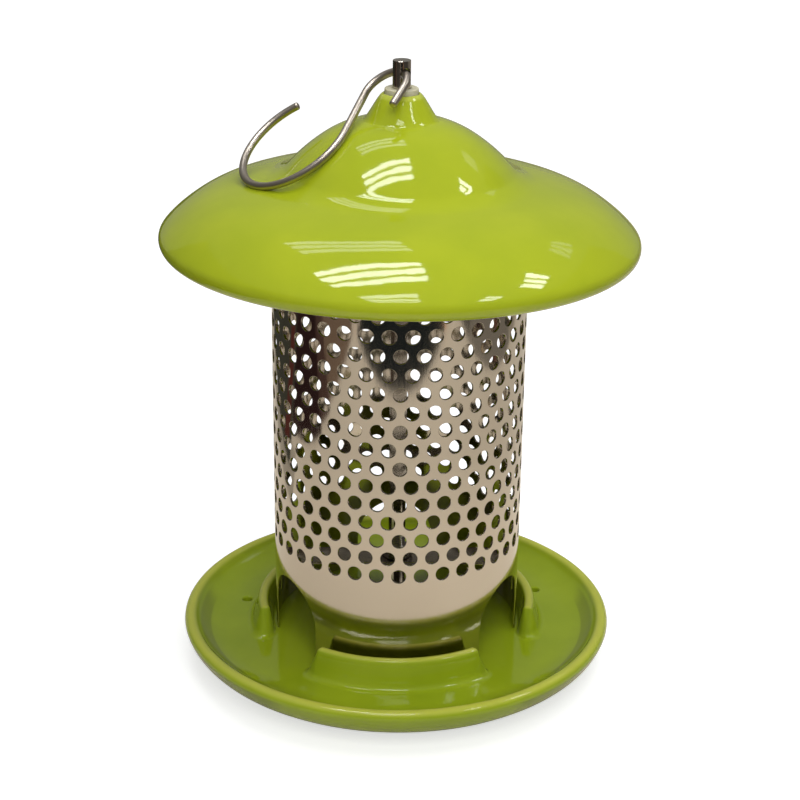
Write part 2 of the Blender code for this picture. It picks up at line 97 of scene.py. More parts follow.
def arc(centre, radius, start, end, count):
    angles = np.radians(np.linspace(start, end, count))
    return [tuple(centre + radius * onCircle(angle)) for angle in angles]


def bezier(p0, p1, p2, p3, count):
    t = np.linspace(0.0, 1.0, count)[:, None]
    s = 1.0 - t
    curve = (np.array(p0) * s ** 3 + np.array(p1) * 3 * s * s * t
             + np.array(p2) * 3 * s * t * t + np.array(p3) * t ** 3)
    return [tuple(point) for point in curve]


def line(start, end, count):
    return [tuple(point) for point in np.linspace(start, end, count)]


def bentLine(start, bends, step=0.0004, soft=0.0008):
    # Outline from its fall in degrees at given lengths along it, with the changes of bend softened
    lengths, falls = np.array(bends).T
    stops = np.cumsum(lengths)
    count = int(round(stops[-1] / step))
    step = stops[-1] / count
    fall = np.interp(np.linspace(0.0, stops[-1], count + 1), stops, falls)
    reach = max(int(round(soft / step / 2.0)), 1)
    before, after = 2.0 * fall[0] - fall[reach:0:-1], 2.0 * fall[-1] - fall[-2:-reach - 2:-1]
    padded = np.concatenate([before, fall, after])
    fall = np.radians(np.convolve(padded, np.ones(2 * reach + 1) / (2 * reach + 1), "valid"))
    middle = (fall[1:] + fall[:-1]) / 2.0
    r = start[0] + np.concatenate([[0.0], np.cumsum(np.cos(middle))]) * step
    z = start[1] - np.concatenate([[0.0], np.cumsum(np.sin(middle))]) * step
    return list(zip(r.tolist(), z.tolist()))


def ringMesh(name, points, closed=True):
    # points[along the outline, round the axis]
    rows, sides = points.shape[:2]
    index = np.arange(rows * sides).reshape(rows, sides)
    here = index if closed else index[:-1]
    after = np.roll(index, -1, axis=0) if closed else index[1:]
    faces = np.stack([here, np.roll(here, -1, axis=1), np.roll(after, -1, axis=1), after], -1).reshape(-1, 4)
    mesh = bpy.data.meshes.new(name)
    mesh.from_pydata(points.reshape(-1, 3).tolist(), [], faces.tolist())
    bm = bmesh.new()
    bm.from_mesh(mesh)
    bmesh.ops.remove_doubles(bm, verts=bm.verts, dist=1e-7)
    bmesh.ops.recalc_face_normals(bm, faces=bm.faces)
    bm.to_mesh(mesh)
    bm.free()
    return mesh


def turnAngles(sides):
    return np.linspace(0.0, 2.0 * math.pi, sides, endpoint=False)


def turnedMesh(name, outline, sides, closed=True):
    kept = [outline[0]]
    for point in outline[1:]:
        if math.dist(point, kept[-1]) > 1e-7:
            kept.append(point)
    around = heading(turnAngles(sides))
    profile = np.array(kept)
    return ringMesh(name, around[None] * profile[:, None, :1] + upward * profile[:, None, 1:], closed)


def makeDrill(name, radius, middle, reach):
    high, low = middle + reach, middle - reach
    return turnedMesh(name, [(0.0, high), (radius, high), (radius, low), (0.0, low)], 48, closed=False)


def shadeSmooth(mesh, sharpAbove=38.0):
    mesh.shade_smooth()
    mesh.set_sharp_from_angle(angle=math.radians(sharpAbove))


def readVertices(mesh, kind="co"):
    values = np.empty(len(mesh.vertices) * 3)
    mesh.vertices.foreach_get(kind, values)
    return values.reshape(-1, 3)


def moveVertices(mesh, places):
    mesh.vertices.foreach_set("co", places.ravel())
    mesh.update()


def unevenSkin(mesh, depth, size, seed=0.0):
    # Hand-finished clay: the skin dips by up to depth, in soft patches as wide as size
    places = readVertices(mesh)
    waves = np.array([noise.noise(Vector(p / size) + Vector((seed, 0.0, 0.0))) for p in places])
    dips = depth * (0.5 + 0.5 * np.clip(waves, -1.0, 1.0))
    moveVertices(mesh, places - readVertices(mesh, "normal") * dips[:, None])


def addPiece(name, mesh, body, slot, *nodes):
    piece = addObject(name, mesh)
    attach(piece, body)
    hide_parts(*nodes)
    print("made", name, len(mesh.polygons), "faces")
    return piece


def cutAway(mesh, cutterMeshes):
    # Boolean difference with throwaway objects
    host = addObject("cutHost", mesh)
    cutters = [addObject("cutter", cutterMesh) for cutterMesh in cutterMeshes]
    for cutter in cutters:
        modifier = host.modifiers.new("cut", "BOOLEAN")
        modifier.operation = "DIFFERENCE"
        modifier.object = cutter
    depsgraph = bpy.context.evaluated_depsgraph_get()
    result = bpy.data.meshes.new_from_object(host.evaluated_get(depsgraph))
    for obj in [host] + cutters:
        bpy.data.objects.remove(obj)
    return result


# Roof: glazed, thrown shape with a nub, a dome, a shallow valley and a wide brim
roof = {
    "nub": ((0.0081, 0.0448), (0.0102, 0.0446), (0.0150, 0.0336), (0.0170, 0.03295)),
    "nubHeight": 0.0431,
    "mouth": 0.0077,
    "bends": (  # arcs along the outline: length of each, fall in degrees at its end
        (0.0, 13.0), (0.0198, 34.5), (0.0128, 43.0), (0.0059, 46.5),  # dome
        (0.0028, 43.0), (0.0007, 36.0), (0.0055, 24.0), (0.0044, 12.5), (0.0035, 12.0),  # valley
        (0.0093, 15.0), (0.0052, 17.5), (0.0042, 20.5),  # brim, in two rows
        (0.0054, 26.0), (0.0067, 33.5), (0.0098, 40.5),
        (0.0068, 48.0), (0.0019, 55.0), (0.0103, 167.0)),  # rounded edge
    "seatRadii": (0.0625, 0.0525),
    "undersideSag": 0.0045,
    "undersideEdge": (0.12, 0.0006),  # the curve's first handle: share of its width, rise
    "undersideInner": 0.35,
    "crownHeight": 0.0262,
    "crownLand": 0.006,
    "hollowHandles": ((0.83, 0.40), (0.62, 0.80)),  # shares of the seat's radius and of the crown's height
    "bore": 0.0062,
    "boreEdge": 0.0004,
    "topBand": 0.001,  # what lies this close to the top side leans with it
    "sides": 224,
    "leanRight": 0.67,  # degrees that the thrown clay leans, clear of the seat
    "leanBack": 0.70,
    "uneven": 0.00009,
    "unevenSize": 0.036,
}


def roofOutline(look):
    bore = look["bore"]
    outer = bezier(*look["nub"], 20) + bentLine(look["nub"][-1], look["bends"])[1:]
    seatOuter, seatInner = look["seatRadii"]
    under = outer[-1]
    span = under[0] - seatOuter
    share, rise = look["undersideEdge"]
    lowest = (seatOuter + look["undersideInner"] * span, -look["undersideSag"])
    underside = bezier(under, (under[0] - share * span, under[1] + rise), lowest, (seatOuter, 0.0), 30)
    crown = look["crownHeight"]
    handles = [(wide * seatInner, tall * crown) for wide, tall in look["hollowHandles"]]
    hollow = bezier((seatInner, 0.0), *handles, (bore + look["crownLand"], crown), 28)
    mouth, seat, edge = look["mouth"], look["nubHeight"], look["boreEdge"]
    boreWall = [(bore, crown), (bore, seat - edge), (bore + edge, seat), (mouth, seat),
                (mouth + 0.00005, look["nub"][0][1] - 0.0002)]
    return outer + underside[1:] + hollow + boreWall, outer


def leanTop(mesh, look, seat, outer):
    # The top side and the brim lean a little, and the seat on the tube stays level
    places = readVertices(mesh)
    radius = np.hypot(places[:, 0], places[:, 1])
    top = np.array(outer)
    widest = int(top[:, 0].argmax())
    surface = np.interp(radius, *top[:widest + 1].T) + seat
    seatOuter = look["seatRadii"][0]
    share = np.clip((radius - seatOuter) / (top[widest, 0] - seatOuter), 0.0, 1.0)
    share = np.where(places[:, 2] > surface - look["topBand"], 1.0, share * share * (3.0 - 2.0 * share))
    places[:, 2] -= share * (places[:, 0] * math.tan(math.radians(look["leanRight"]))
                             + places[:, 1] * math.tan(math.radians(look["leanBack"])))
    moveVertices(mesh, places)


def makeRoof(look):
    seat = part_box("roof")[1].z - look["nubHeight"]
    outline, outer = roofOutline(look)
    mesh = turnedMesh("roofGlazed", [(r, z + seat) for r, z in outline], look["sides"])
    leanTop(mesh, look, seat, outer)
    unevenSkin(mesh, look["uneven"], look["unevenSize"])
    shadeSmooth(mesh)
    return addPiece("roofGlazed", mesh, "lid", "roof_glaze", "roof")


rodBore = 0.0043  # radius of the hole round the rod in the bushing, strap, nuts and washers

# Bushing in the roof's hole, with its flange on the nub
bushing = {
    "sleeve": 0.0059,
    "flangeRadius": 0.0075,
    "flangeThickness": 0.0037,
    "round": 0.0006,
    "sides": 72,
}


def makeBushing(look):
    low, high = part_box("roof_bushing")
    top, base, soft = high.z, high.z - look["flangeThickness"], look["round"]
    outer, sleeve, less = look["flangeRadius"], look["sleeve"], soft / 2
    outline = (arc((outer - soft, top - soft), soft, 90.0, 0.0, 7)
               + arc((outer - less, base + less), less, 0.0, -90.0, 5)
               + [(sleeve, base), (sleeve, low.z + less), (sleeve - less, low.z), (rodBore, low.z)]
               + arc((rodBore + less, top - less), less, 180.0, 90.0, 5))
    mesh = turnedMesh("roofBushing", outline, look["sides"])
    shadeSmooth(mesh, 50.0)
    return addPiece("roofBushing", mesh, "lid", "bushing_nylon", "roof_bushing")


# Tray: glazed dish with a rolled rim, a foot ring, drain holes and three ribs round the tube
tray = {
    "radius": 0.10196,
    "rimHeight": 0.0236,
    "rimLip": 0.0032,
    "rimSweep": 0.0025,
    "floorRadius": 0.081,
    "floorTop": 0.016,
    "recess": 0.009,
    "recessDraft": 0.002,
    "footRadius": 0.071,
    "footWidth": 0.010,
    "bore": 0.0048,
    "boreEdge": 0.0006,
    "closeRowsFrom": 0.0555,  # rows are closer together from here to the rib's outer fillet
    "closeRowsPastRib": 0.0055,
    "dishHandles": (0.55, 0.12),  # shares of the dish's width
    "footEdge": (0.0004, 0.0008),
    "recessRound": 0.0015,
    "recessRowsFrom": 0.050,
    "ribs": ((0.0, 37.5), (115.0, 42.0), (-115.0, 42.0)),  # azimuth, half angle at the foot
    "ribMiddle": 0.0642,
    "ribHalfWidth": 0.0046,
    "ribHeight": 0.0138,
    "ribDraft": 0.0020,
    "ribEndDraft": 0.0034,
    "ribFillets": (0.0012, 0.0040),  # towards the tube, towards the rim
    "ribCorner": 0.0038,
    "drainRadius": 0.0022,
    "drainRound": 0.0011,
    "drainReach": (-0.01, 0.026),
    "drainCircle": 0.0757,
    "drainAzimuths": (113.0, -104.5),
    "uneven": 0.00014,
    "unevenSize": 0.030,
}


def ribRise(look, radius, azimuth):
    # Height of the ribs above the floor: fillet, drafted wall, rounded top, with rounded corners in plan
    middle, half, corner = look["ribMiddle"], look["ribHalfWidth"], look["ribCorner"]
    draft, height = look["ribDraft"], look["ribHeight"]
    head = half - draft
    side = half - np.abs(radius - middle)
    share = np.clip((radius - middle + half) / half, 0.0, 1.0)
    fillet = look["ribFillets"][0] + (look["ribFillets"][1] - look["ribFillets"][0]) * share ** 2
    rise = np.zeros_like(radius)
    for centre, spread in look["ribs"]:
        off = np.abs((np.degrees(azimuth) - centre + 180.0) % 360.0 - 180.0)
        reach = np.radians(spread - off) * radius
        end = np.interp(reach, (-0.1, 0.0, look["ribEndDraft"], 0.1), (-0.1, 0.0, draft, 0.0986))
        rounded = corner - np.hypot(corner - side, corner - end)
        depth = np.where((side < corner) & (end < corner), rounded, np.minimum(side, end))
        foot = fillet - np.sqrt(np.maximum(fillet ** 2 - np.clip(depth + fillet, 0.0, fillet) ** 2, 0.0))
        wall = fillet + (height - head - fillet) * np.clip(depth / draft, 0.0, 1.0)
        cap = np.sqrt(np.maximum(head ** 2 - (head - np.clip(depth - draft, 0.0, head)) ** 2, 0.0))
        rise = np.maximum(rise, np.where(depth < 0.0, foot, wall + cap))
    return rise


def trayAngles(look):
    # Closer together round the ends of the ribs
    ends = [abs(centre) + sign * spread for centre, spread in look["ribs"][:2] for sign in (-1.0, 1.0)][1:]
    stops = [0.0] + [end + side for end in ends for side in (-6.0, 6.0)] + [180.0]
    half = []
    for n in range(len(stops) - 1):
        step = 0.45 if n % 2 else 1.6
        count = max(int(round((stops[n + 1] - stops[n]) / step)), 1)
        half += list(np.linspace(stops[n], stops[n + 1], count, endpoint=False))
    return np.radians(np.array(half + [180.0] + [360.0 - angle for angle in half[:0:-1]]))


def makeTray(look):
    top, bore, edge, close = look["floorTop"], look["bore"], look["boreEdge"], look["closeRowsFrom"]
    middle, half, draft = look["ribMiddle"], look["ribHalfWidth"], look["ribDraft"]
    inner, outer = middle - half, middle + half
    past, floorRadius = outer + look["closeRowsPastRib"], look["floorRadius"]
    stops = [(bore, bore + edge, 2), (bore + edge, close, 12), (close, inner, 14), (inner, inner + draft, 7)]
    capRows = [middle - (half - draft) * math.cos(a) for a in np.linspace(0.0, math.pi, 17)]
    lastStops = [(outer - draft, outer, 7), (outer, past, 14), (past, floorRadius, 8)]
    radii, lastRadii = ([r for stop in group for r in np.linspace(*stop, endpoint=False)]
                        for group in (stops, lastStops))
    floor = [(r, top) for r in radii + capRows[:-1] + lastRadii]
    floor[0] = (bore, top - edge)
    lip = look["rimLip"]
    rim = arc((look["radius"] - lip, look["rimHeight"] - lip), lip, 150.0, -30.0, 18)
    span = rim[0][0] - floorRadius
    low, high = look["dishHandles"]
    dish = bezier((floorRadius, top), (floorRadius + low * span, top),
                  (rim[0][0] - high * span, rim[0][1] - look["rimSweep"]), rim[0], 26)
    foot = look["footRadius"]
    span = rim[-1][0] - foot
    outside = bezier(rim[-1], (rim[-1][0] - 0.10 * span, 0.45 * rim[-1][1]),
                     (foot + 0.35 * span, 0.15 * rim[-1][1]), (foot, 0.0), 28)
    footInner, recess, soft = foot - look["footWidth"], look["recess"], look["recessRound"]
    wall = footInner - look["recessDraft"]
    across, rise = look["footEdge"]
    under = [(footInner, 0.0), (footInner - across, rise), (wall, recess - soft), (wall - soft, recess)]
    under += line((look["recessRowsFrom"], recess), (bore, recess), 8)
    profile = np.array(floor + dish + rim[1:] + outside[1:] + under)
    angles = trayAngles(look)
    radius, height = np.meshgrid(profile[:, 0], angles, indexing="ij")[0], profile[:, 1][:, None]
    azimuth = np.broadcast_to(angles[None], radius.shape)
    topside = np.zeros(len(profile), bool)
    topside[1:len(floor) + len(dish) - 2] = True
    rise = np.where(topside[:, None], ribRise(look, radius, azimuth), 0.0)
    points = heading(azimuth) * radius[..., None]
    points[..., 2] = height + rise
    mesh = ringMesh("trayGlazed", points)
    unevenSkin(mesh, look["uneven"], look["unevenSize"], 7.0)
    drains = []
    r, soft, (below, above) = look["drainRadius"], look["drainRound"], look["drainReach"]
    outline = ([(0.0, above), (r + soft + 0.0005, above), (r + soft + 0.0003, top + 0.0008)]
               + arc((r + soft, top - soft), soft, 90.0, 180.0, 7) + [(r, below), (0.0, below)])
    for azimuth in look["drainAzimuths"]:
        drill = turnedMesh("drain", outline, 36, closed=False)
        spot = heading(np.array(math.radians(azimuth))) * look["drainCircle"]
        drill.transform(Matrix.Translation(spot))
        drains.append(drill)
    mesh = cutAway(mesh, drains)
    shadeSmooth(mesh, 42.0)
    return addPiece("trayGlazed", mesh, "base", "tray_glaze", "tray")


# Seed tube: rolled sheet with 36 staggered holes in each row and three feed arches at its foot
seedTube = {
    "radius": 0.058,
    "wall": 0.001,
    "base": 0.0163,
    "height": 0.213,
    "firstRow": 0.0517,
    "rows": 15,
    "holesRound": 36,
    "holeRadius": 0.00325,
    "holeSides": 24,
    "edgeRound": 0.00022,
    "archWidth": 0.0384,
    "archHeight": 0.0357,
    "archAzimuths": (60.0, 180.0, 300.0),
    "plainAbove": 0.186,
    "plainBelow": 0.0407,
    "archBandTop": 0.0387,
    "archPoints": 29,
    "betweenArches": 62,
    "levels": (6, 5),  # down to an arch's spring, from there to the foot
}


class Sheet:
    # A flat pattern of (along, up) points that is wrapped to the tube when it is built
    def __init__(self, radius):
        self.radius = radius
        self.around = 2.0 * math.pi * radius
        self.flat, self.index, self.faces = [], {}, []

    def point(self, along, up):
        key = (round((along % self.around) * 1e6) % round(self.around * 1e6), round(up * 1e6))
        if key not in self.index:
            self.index[key] = len(self.flat)
            self.flat.append((along, up))
        return self.index[key]

    def face(self, *corners):
        kept = [c for i, c in enumerate(corners) if c != corners[i - 1]]
        if len(kept) > 2:
            self.faces.append(tuple(kept))


def hexagonEdge(look, angle):
    # A point on the six-sided cell round a hole, in the direction of angle
    pitch = 2.0 * math.pi * look["radius"] / look["holesRound"]
    off = (angle + 30.0) % 60.0 - 30.0
    return tuple(pitch / 2.0 / math.cos(math.radians(off)) * onCircle(math.radians(angle)))


def zipRows(sheet, lower, upper):
    # Triangles between two rows of points that both run to the right
    i, j = 0, 0
    while i < len(lower) - 1 or j < len(upper) - 1:
        takeLower = j == len(upper) - 1 or (
            i < len(lower) - 1 and lower[i + 1][0] <= upper[j + 1][0])
        a, b = sheet.point(*lower[i]), sheet.point(*upper[j])
        if takeLower:
            sheet.face(a, sheet.point(*lower[i + 1]), b)
            i += 1
        else:
            sheet.face(a, sheet.point(*upper[j + 1]), b)
            j += 1


def rowEdge(look, row, angles, pitch, rowSpacing):
    # The zigzag along one side of a row of holes
    offset = 0.5 if row % 2 else 0.0
    edge = [hexagonEdge(look, angle) for angle in angles]
    return [((i + offset) * pitch + x, look["firstRow"] + row * rowSpacing + y)
            for i in range(look["holesRound"]) for x, y in edge]


def drawPlainBands(sheet, look, pitch, rowSpacing):
    # The sheet above the top row of holes and below the bottom one
    step = 360.0 / look["holeSides"]
    climb = np.arange(150.0, 30.0 - step / 2, -step)[:-1]
    dip = np.arange(210.0, 330.0 + step / 2, step)[:-1]
    topLine = rowEdge(look, look["rows"] - 1, climb, pitch, rowSpacing)
    lowLine = rowEdge(look, 0, dip, pitch, rowSpacing)
    topEnds = np.linspace(look["plainAbove"], look["height"], 4)
    for points, ends in ((topLine, topEnds), (lowLine, [look["plainBelow"]])):
        before = points
        for end in ends:
            after = [(x, end) for x, _ in points]
            for n in range(len(before)):
                m = (n + 1) % len(before)
                quad = [sheet.point(*before[n]), sheet.point(*before[m]), sheet.point(*after[m]),
                        sheet.point(*after[n])]
                sheet.face(*(quad if end > before[0][1] else quad[::-1]))
            before = after
    return [(x, look["plainBelow"]) for x, _ in lowLine]


def drawArchBand(sheet, look, upperRow):
    # Columns from the plain band down to the foot, or to an arch's outline
    half, radius = look["archWidth"] / 2.0, look["radius"]
    spring = look["archHeight"] - half
    top = look["archBandTop"]
    columns = []
    third = 2.0 * math.pi * radius / 3.0
    for azimuth in look["archAzimuths"]:
        middle = math.radians(azimuth) * radius
        for x, z in arc((0.0, spring), half, 180.0, 0.0, look["archPoints"]):
            columns.append((middle + radius * math.asin(x / radius), z, True))
        edge = radius * math.asin(half / radius)
        for x in np.linspace(middle + edge, middle + third - edge, look["betweenArches"])[1:-1]:
            columns.append((x, 0.0, False))
    levels, feet = look["levels"]
    for n, (x, stop, inArch) in enumerate(columns):
        nextX, nextStop, nextIn = columns[(n + 1) % len(columns)]
        if n == len(columns) - 1:
            nextX += sheet.around

        def upperLevels(along, end, arched):
            foot = end if arched else spring
            return [(along, z) for z in np.linspace(top, foot, levels)]

        here, after = upperLevels(x, stop, inArch), upperLevels(nextX, nextStop, nextIn)
        if not (inArch and nextIn):
            here += [(x, z) for z in np.linspace(spring, 0.0, feet)[1:]]
            after += [(nextX, z) for z in np.linspace(spring, 0.0, feet)[1:]]
        for k in range(len(here) - 1):
            sheet.face(sheet.point(*here[k]), sheet.point(*here[k + 1]), sheet.point(*after[k + 1]),
                       sheet.point(*after[k]))
    first = columns[0][0]
    row = [(x, top) for x, _, _ in columns] + [(first + sheet.around, top)]
    start = min(range(len(upperRow)), key=lambda n: abs(upperRow[n][0] - first))
    upper = upperRow[start:] + [(x + sheet.around, z) for x, z in upperRow[:start + 1]]
    zipRows(sheet, row, upper)


def makeSeedTube(look):
    radius, wall, sides = look["radius"], look["wall"], look["holeSides"]
    per = look["holesRound"]
    pitch = 2.0 * math.pi * radius / per
    rowSpacing = pitch * math.sqrt(3.0) / 2.0
    sheet = Sheet(radius)
    angles = [n * 360.0 / sides for n in range(sides)]
    edges = [hexagonEdge(look, a) for a in angles]
    ways = [onCircle(math.radians(a)) for a in angles]
    spread = look["holeRadius"] + look["edgeRound"]
    rings = []
    for row in range(look["rows"]):
        for i in range(per):
            along = (i + (0.5 if row % 2 else 0.0)) * pitch
            up = look["firstRow"] + row * rowSpacing
            cell = [sheet.point(along + x, up + y) for x, y in edges]
            start = len(sheet.flat)
            sheet.flat += [tuple((along, up) + spread * way) for way in ways]
            ring = list(range(start, start + sides))
            for n in range(sides):
                m = (n + 1) % sides
                sheet.face(ring[n], cell[n], cell[m], ring[m])
            rings.append((along, up, ring))
    drawArchBand(sheet, look, drawPlainBands(sheet, look, pitch, rowSpacing))

    flat = np.array(sheet.flat)
    count = len(flat)
    innerFlat = flat.copy()
    ringFlat = np.array([(along, up) + way * look["holeRadius"] for along, up, _ in rings for way in ways])
    ringWays = np.array(ways * len(rings))
    innerFlat[[k for _, _, ring in rings for k in ring]] = ringFlat

    def wrapped(points, depth):
        placed = heading(points[:, 0] / radius) * (radius - depth)
        placed[:, 2] = look["base"] + points[:, 1]
        return placed

    outer, inner = wrapped(flat, 0.0), wrapped(innerFlat, wall)
    edge = wrapped(ringFlat, look["edgeRound"])
    places = np.concatenate([outer, inner, edge])
    outward = heading(flat[:, 0] / radius)
    tangent = np.stack([np.cos(ringFlat[:, 0] / radius), np.sin(ringFlat[:, 0] / radius),
                        np.zeros(len(ringFlat))], -1)
    towardsHole = -(tangent * ringWays[:, :1] + upward * ringWays[:, 1:])
    faces, normals, used = [], [], set()
    for face in sheet.faces:
        a, b, c = (outer[k] for k in face[:3])
        if np.dot(np.cross(b - a, c - a), outward[face[0]]) < 0.0:
            face = face[::-1]
        faces.append(face)
        normals.extend(outward[k] for k in face)
        faces.append(tuple(k + count for k in reversed(face)))
        normals.extend(-outward[k] for k in reversed(face))
        used.update((face[n - 1], a) for n, a in enumerate(face))
    holeVertices = set()
    for r, (_, _, ring) in enumerate(rings):
        holeVertices.update(ring)
        for n in range(sides):
            m = (n + 1) % sides
            e0, e1 = r * sides + n, r * sides + m
            faces.append((ring[n], ring[m], 2 * count + e1, 2 * count + e0))
            normals.extend([outward[ring[n]], outward[ring[m]], towardsHole[e1], towardsHole[e0]])
            faces.append((2 * count + e0, 2 * count + e1, ring[m] + count, ring[n] + count))
            normals.extend([towardsHole[e0], towardsHole[e1], towardsHole[e1], towardsHole[e0]])
    for a, b in sorted(used):
        if (b, a) not in used and not (a in holeVertices and b in holeVertices):
            faces.append((b, a, a + count, b + count))
            normals.extend([np.zeros(3)] * 4)
    mesh = bpy.data.meshes.new("seedTubeSheet")
    mesh.from_pydata(places.tolist(), [], [tuple(int(k) for k in face) for face in faces])
    mesh.shade_smooth()
    mesh.normals_split_custom_set([tuple(n) for n in normals])
    return addPiece("seedTubeSheet", mesh, "base", "tube_steel", "seed_tube")


# Strap across the tube, its ends bent down along the wall
strap = {
    "halfWidth": 0.0085,
    "thickness": 0.0015,
    "tab": 0.014,
    "bend": 0.003,
    "edge": 0.0006,
}


def makeStrap(look):
    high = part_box("cross_strap")[1]
    reach, top, bend = high.x, high.z, look["bend"]
    right = line((reach, top - look["tab"]), (reach, top - bend - 0.0005), 3)
    right += arc((reach - bend, top - bend), bend, 0.0, 90.0, 9)
    path = right + [(-x, z) for x, z in reversed(right)]
    padded = np.array([path[0]] + path + [path[-1]])
    ways = padded[2:] - padded[:-2]
    soft = look["edge"]
    half, thick = look["halfWidth"], look["thickness"]
    section = []
    for cx, cy, start in ((half - soft, -soft, 90.0), (half - soft, soft - thick, 0.0),
                          (soft - half, soft - thick, -90.0), (soft - half, -soft, -180.0)):
        section += arc((cx, cy), soft, start, start - 90.0, 4)
    rings = []
    for (x, z), way in zip(path, ways):
        outward = np.array([way[1], -way[0]]) / np.linalg.norm(way)
        rings.append([(x + outward[0] * v, u, z + outward[1] * v) for u, v in section])
    ends = [[tuple(np.mean(rings[k], axis=0))] * len(section) for k in (0, -1)]
    points = np.array([ends[0]] + rings + [ends[1]])
    mesh = ringMesh("strapSteel", points, closed=False)
    mesh = cutAway(mesh, [makeDrill("strapBore", rodBore, top, 0.01)])
    shadeSmooth(mesh)
    return addPiece("strapSteel", mesh, "base", "strap_steel", "cross_strap")


# Thin hexagon nuts, with the corners turned off
nut = {
    "acrossFlats": 0.013,
    "boreEdge": 0.0005,
    "landShare": 0.96,
    "cornerSlope": 0.55,
    "sides": 96,
}


def makeNut(look, name, node):
    low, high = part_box(node)
    apothem = look["acrossFlats"] / 2.0
    angles, edge = turnAngles(look["sides"]), look["boreEdge"]
    off = np.abs((angles + math.pi / 6.0) % (math.pi / 3.0) - math.pi / 6.0)
    reach = apothem / np.cos(off)
    land = np.full_like(reach, look["landShare"] * apothem)
    drop = (reach - land) * look["cornerSlope"]
    bore = np.full_like(reach, rodBore)
    rows = [(bore, high.z - edge), (bore + edge, high.z), (land, high.z), (reach, high.z - drop),
            (reach, low.z + drop), (land, low.z), (bore + edge, low.z), (bore, low.z + edge)]
    points = np.array([heading(angles) * r[:, None] + upward * np.broadcast_to(z, r.shape)[:, None]
                       for r, z in rows])
    mesh = ringMesh(name, points)
    shadeSmooth(mesh, 30.0)
    return addPiece(name, mesh, "base", "nut_steel", node)


# Washers under the tray
washers = {
    "steel": {"piece": "washerSteel", "node": "steel_washer", "slot": "washer_steel", "round": 0.0002},
    "rubber": {"piece": "washerRubber", "node": "rubber_washer", "slot": "washer_rubber", "round": 0.0005},
}


def makeWasher(look):
    low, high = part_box(look["node"])
    soft = look["round"]
    inner, outer, base, top = rodBore + soft, high.x - soft, low.z + soft, high.z - soft
    outline = (arc((outer, top), soft, 90.0, 0.0, 5) + arc((outer, base), soft, 0.0, -90.0, 5)
               + arc((inner, base), soft, -90.0, -180.0, 5) + arc((inner, top), soft, 180.0, 90.0, 5))
    mesh = turnedMesh(look["piece"], outline, 80)
    shadeSmooth(mesh, 50.0)
    return addPiece(look["piece"], mesh, "base", look["slot"], look["node"])


# Hanging rod: drawn bar with a threaded stretch for the nut and a cross-hole at its top
rod = {
    "radius": 0.004,
    "chamfer": 0.0001,
    "crossHole": 0.0027,
    "crossBelowTop": 0.0056,
    "crossAzimuth": 31.0,
    "threadFrom": 0.0425,
    "threadTo": 0.0635,
    "threadPitch": 0.00125,
    "threadDepth": 0.0006,
    "threadFade": 0.001,
    "sides": 96,
    "closeRowsBelowTop": 0.0105,
    "closeRowStep": 0.0004,
}


def makeRod(look):
    low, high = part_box("hanging_rod")
    radius, chamfer, step = look["radius"], look["chamfer"], look["closeRowStep"]
    first, last, run = look["threadFrom"], look["threadTo"], look["threadFade"]
    close = high.z - look["closeRowsBelowTop"]
    heights = np.concatenate([
        [low.z + chamfer], np.arange(first, last, look["threadPitch"] / 8.0),
        np.linspace(last + run, close, 24), np.arange(high.z - chamfer, close + step / 2.0, -step)[::-1]])
    angles = turnAngles(look["sides"])
    turn = (heights[:, None] / look["threadPitch"] - angles[None] / (2.0 * math.pi)) % 1.0
    groove = np.clip(np.abs(turn - 0.5) * 2.0 * 1.25 - 0.12, 0.0, 1.0)
    fade = np.clip((heights - first) / run, 0.0, 1.0) * np.clip((last - heights) / run, 0.0, 1.0)
    reach = radius - look["threadDepth"] * groove * fade[:, None]
    centre, edge = np.zeros_like(angles), np.full_like(angles, radius - chamfer)
    rows = [(centre, low.z), (edge, low.z)] + list(zip(reach, heights)) + [(edge, high.z), (centre, high.z)]
    points = np.array([heading(angles) * r[:, None] + upward * z for r, z in rows])
    mesh = ringMesh("rodPolished", points, closed=False)
    drill = makeDrill("crossDrill", look["crossHole"], 0.0, 0.012)
    drill.transform(Matrix.Translation((0.0, 0.0, high.z - look["crossBelowTop"]))
                    @ Matrix.Rotation(math.radians(look["crossAzimuth"]), 4, "Z")
                    @ Matrix.Rotation(math.pi / 2.0, 4, "X"))
    mesh = cutAway(mesh, [drill])
    shadeSmooth(mesh, 34.0)
    return addPiece("rodPolished", mesh, "base", "rod_steel", "hanging_rod")


# S-hook: polished wire through the cross-hole, lying on the roof
hook = {
    "wire": 0.00175,
    "loopRadius": 0.0108,
    "loopLeg": 0.0115,
    "loopLegTurn": 67.5,
    "shankLean": 29.0,
    "shankLength": 0.025,
    "hookRadius": 0.0274,
    "hookTurn": 247.0,
    "drop": 36.19,
    "sides": 48,
    "counts": (33, 161, 81, 341),  # points along the leg, the loop, the shank and the big hook
    "dome": ((0.0, 1.0), (0.00045, 0.93), (0.0007, 0.78), (0.00088, 0.5), (0.00095, 0.0)),
}


